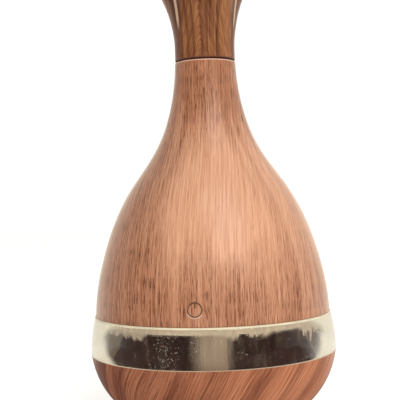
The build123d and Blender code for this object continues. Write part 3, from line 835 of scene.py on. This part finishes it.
@dataclass
class WickParts:
    """Wick, its holder, cap and the spring, made at one length only."""

    wire: float = 0.3 * MM          # radius of the spring's wire
    turns: float = 3.5
    steps: int = 36                 # points along each turn
    sides: int = 12                 # points round the wire

    def build(self) -> None:
        """Dresses the nodes and makes the spring."""
        tan = Moulded("holder tan", (0.98, 0.64, 0.44), 0.45, see_through=0.2)
        dress(tan.build(), "wick_holder", "wick_cap")
        dress(Moulded("holder silicone", (0.8, 0.76, 0.66), 0.45).build(), "holder_gasket")
        dress(Cotton("wick cotton").build(), "wick")
        self.spring()

    def spring(self) -> None:
        """Tube round a helix, closed at both ends.

        The helix is (mean cos a, mean sin a, foot + slope a). The wire's circle lies across it,
        between the direction away from the axis and the one square to that and to the helix.
        """
        low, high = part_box("wick_spring")
        mean = high.x - self.wire
        foot, top = low.z + self.wire, high.z - self.wire
        angle = np.linspace(0, 2 * math.pi * self.turns, int(self.steps * self.turns) + 1)[:, None]
        slope = (top - foot) / (2 * math.pi * self.turns)
        middle = np.hstack([mean * np.cos(angle), mean * np.sin(angle), foot + slope * angle])
        outward = np.hstack([np.cos(angle), np.sin(angle), 0 * angle])
        run = np.hstack([-mean * np.sin(angle), mean * np.cos(angle), slope + 0 * angle])
        across = np.cross(run / np.linalg.norm(run, axis=1)[:, None], outward)
        s = np.linspace(0, 2 * math.pi, self.sides, endpoint=False)[None, :, None]
        points = middle[:, None] + self.wire * (np.cos(s) * outward[:, None] + np.sin(s) * across[:, None])
        count = self.sides * len(angle)
        faces = grid_faces(len(angle), self.sides, True).tolist()
        faces += [list(range(self.sides))[::-1], list(range(count - self.sides, count))]
        steel = Metal("spring steel", (0.66, 0.66, 0.66), 0.2).build()
        piece = make_piece("wick_coil", points, faces, steel, "wick_carrier")
        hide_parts("wick_spring")
        push = next(j for j in frame["record"]["behaviour"]["joints"] if j["name"] == "wick_travel")
        keep = 1 - push["range_m"][1] / (high.z - low.z)
        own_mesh(piece)


@dataclass
class Atomiser:
    """Collar, disc and its gaskets in the neck."""

    def build(self) -> None:
        """Dresses the nodes."""
        dress(Moulded("collar brown", (0.20, 0.040, 0.022), 0.8).build(), "collar")
        dress(Moulded("gasket silicone", (0.8, 0.77, 0.70), 0.45, see_through=0.3).build(),
              "head_seal", "disc_gasket")
        dress(MistMesh("mist disc steel").build(), "mesh_plate")
        dress(Moulded("disc ceramic", (0.62, 0.60, 0.52), 0.35, 3500.0).build(), "piezo_ring")
        dress(Moulded("retainer cream", (0.82, 0.77, 0.66), 0.5).build(), "disc_retainer")


@dataclass
class MistHead:
    """Petal head with its funnel."""

    def build(self) -> None:
        """Dresses the nodes."""
        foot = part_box("mist_head")[0].z
        film = WoodFilm("head film", Figure.CATHEDRAL, (0.350, 0.150, 0.060), (0.190, 0.062, 0.022),
                        (0.100, 0.028, 0.010), (0.060, 0.016, 0.006), fibres=43.2, stretch=27.5,
                        roughness=0.38, gloss=0.16, coat=0.08, sheen=0.15,
                        lines=((foot, 0.3 * MM, (0.16, 0.06, 0.03)),))
        dress(film.build(), "mist_head")
        dress(Moulded("funnel cream", (0.83, 0.77, 0.64), 0.5).build(), "nozzle_insert")


# ---------------------------------------------------------------- studio and camera
@dataclass
class Studio:
    """White studio: a pale floor, soft light from behind and above, and a key from the front right.

    The camera sees plain white round the object. Soft light and reflections come from a studio that
    is dim in front, and its floor in front is dark in reflections, so that the window stays clear.
    """

    floor: float = 2.5              # radius of the floor
    shade: float = 0.16             # brightness of the dim front of the studio
    back: float = 1.0               # what the back wall adds to it
    top: float = 0.55               # what the ceiling adds to it
    right: float = 0.25             # what the right wall adds to it
    key: float = 6.0                # watts
    fill: float = 2.0               # watts
    white: float = 1.05             # brightness of the backdrop
    tone: Colour = (1.0, 0.955, 0.88)       # warmth of the surrounding light
    dark: Colour = (0.17, 0.11, 0.11)       # floor in front, as the window mirrors it

    def build(self) -> None:
        """Makes the surrounding light, the floor and the two lamps."""
        self.surround()
        self.ground()
        self.lamp("key softbox", (0.50, -0.78, 0.95), (0.0, 0.0, 0.09), 0.6, self.key)
        self.lamp("front fill", (0.22, -0.95, 0.20), (0.0, 0.0, 0.07), 0.5, self.fill, mirrored=False)

    def surround(self) -> None:
        """Lights the studio by direction, and shows its backdrop plain white."""
        world = bpy.data.worlds.new("white studio")
        bpy.context.scene.world = world
        world.use_nodes = True
        g = Graph.of_world(world)
        x, y, z = g.place("Generated")
        west = 1 - x.rise(0.3, -0.7) * 0.70
        light = self.shade + y.rise(0.35, 0.85) * west * self.back + z.rise(0.1, 0.9) * self.top
        light = light + x.rise(0.1, 0.9) * y.rise(0.3, -0.3) * self.right
        mirrored = 0.14 + y.rise(-0.45, 0.15) * 0.86
        soft = g.node("ShaderNodeLightPath", output="Is Diffuse Ray")
        seen = g.node("ShaderNodeLightPath", output="Is Camera Ray")
        strength = (light * soft + mirrored * (1 - soft)) * (1 - seen) + seen * self.white
        g.feed(world.node_tree.nodes["Background"].inputs["Strength"], strength)
        colour = g.blend(seen, self.tone, (1.0, 1.0, 1.0))
        g.feed(world.node_tree.nodes["Background"].inputs["Color"], colour)

    def ground(self) -> None:
        """The floor: a flat disc. Reflections see its front dark."""
        columns = 96
        angle = np.linspace(0, 2 * math.pi, columns, endpoint=False)[None, :]
        reach = np.array([0.001, 0.1, 0.5, self.floor])[:, None]
        points = around(reach, angle, 0.0).reshape(-1, 3)
        mesh = bpy.data.meshes.new("floor")
        mesh.from_pydata(points, [], grid_faces(len(reach), columns, True)[:, ::-1])
        g = Graph("floor paint")
        at = g.node("ShaderNodeTexCoord", output="Object")
        mottle = g.cloud(at, 60.0)
        y = g.place()[1]
        direct = g.node("ShaderNodeLightPath", output="Is Diffuse Ray")
        direct = direct.maths("MAXIMUM", g.node("ShaderNodeLightPath", output="Is Camera Ray"))
        dim = (1 - direct) * y.rise(0.10, 0.0)
        paint = g.blend(mottle, (0.78, 0.78, 0.78), (0.82, 0.82, 0.82))
        g.bump(g.cloud(at, 900.0), 0.1, 0.0001)
        mesh.materials.append(g.finish(Base_Color=g.blend(dim, paint, self.dark), Roughness=0.8,
                                       Emission_Color=g.blend(dim, (1.0, 1.0, 1.0), self.dark),
                                       Emission_Strength=0.45))
        sheet = bpy.data.objects.new("floor", mesh)
        bpy.context.scene.collection.objects.link(sheet)
        LOG.info("made the floor")

    def lamp(self, name: str, at: tuple[float, float, float], towards: tuple[float, float, float],
             size: float, power: float, mirrored: bool = True) -> None:
        """Adds a square softbox.

        Args:
            name: Name of the lamp.
            at: Where it stands.
            towards: The point it faces.
            size: Side of the square in metres.
            power: Its power in watts.
            mirrored: Whether glossy surfaces and the window show it.
        """
        light = bpy.data.lights.new(name, "AREA")
        light.shape = "SQUARE"
        light.size = size
        light.energy = power
        lamp = bpy.data.objects.new(name, light)
        lamp.location = at
        lamp.visible_glossy = lamp.visible_transmission = mirrored
        lamp.rotation_mode = "QUATERNION"
        lamp.rotation_quaternion = (Vector(towards) - Vector(at)).to_track_quat("-Z", "Y")
        bpy.context.scene.collection.objects.link(lamp)


@dataclass
class Viewpoint:
    """Level camera in front of the vase, a little to the right of the key, slightly rolled."""

    azimuth: float = 8.4            # degrees from the front towards +X
    distance: float = 0.368
    height: float = 0.09025
    sideways: float = 0.0038        # the axis stands this far right of the picture's middle
    roll: float = 0.030             # radians, the vase's top leans left
    lens: float = 80.2

    def build(self) -> None:
        """Makes the camera and hands it to the scene."""
        a = math.radians(self.azimuth)
        back = Vector((math.sin(a), -math.cos(a), 0.0))
        right = Vector((math.cos(a), math.sin(a), 0.0))
        up = Vector((0.0, 0.0, 1.0))
        tilted_right = right * math.cos(self.roll) - up * math.sin(self.roll)
        tilted_up = up * math.cos(self.roll) + right * math.sin(self.roll)
        data = bpy.data.cameras.new("view")
        data.lens = self.lens
        data.sensor_width = 36.0
        data.clip_start, data.clip_end = 0.01, 20.0
        camera = bpy.data.objects.new("view", data)
        turn = Matrix((tilted_right, tilted_up, back)).transposed()
        place = back * self.distance - right * self.sideways + up * self.height
        camera.matrix_world = Matrix.Translation(place) @ turn.to_4x4()
        bpy.context.scene.collection.objects.link(camera)
        bpy.context.scene.camera = camera
        LOG.info("camera %.3f m away, lens %.0f mm", self.distance, self.lens)


def main() -> None:
    """Builds every sub-assembly's looks, then the studio and the camera."""
    logging.basicConfig(level=logging.INFO, format="%(message)s")
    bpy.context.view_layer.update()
    bpy.context.scene.view_settings.view_transform = "Standard"
    for part in (Viewpoint(), Tank(), Vase(), Electronics(), WickParts(), Atomiser(), MistHead(), Studio()):
        part.build()
        LOG.info("%s done", type(part).__name__)


if __name__ == "__main__":
    main()
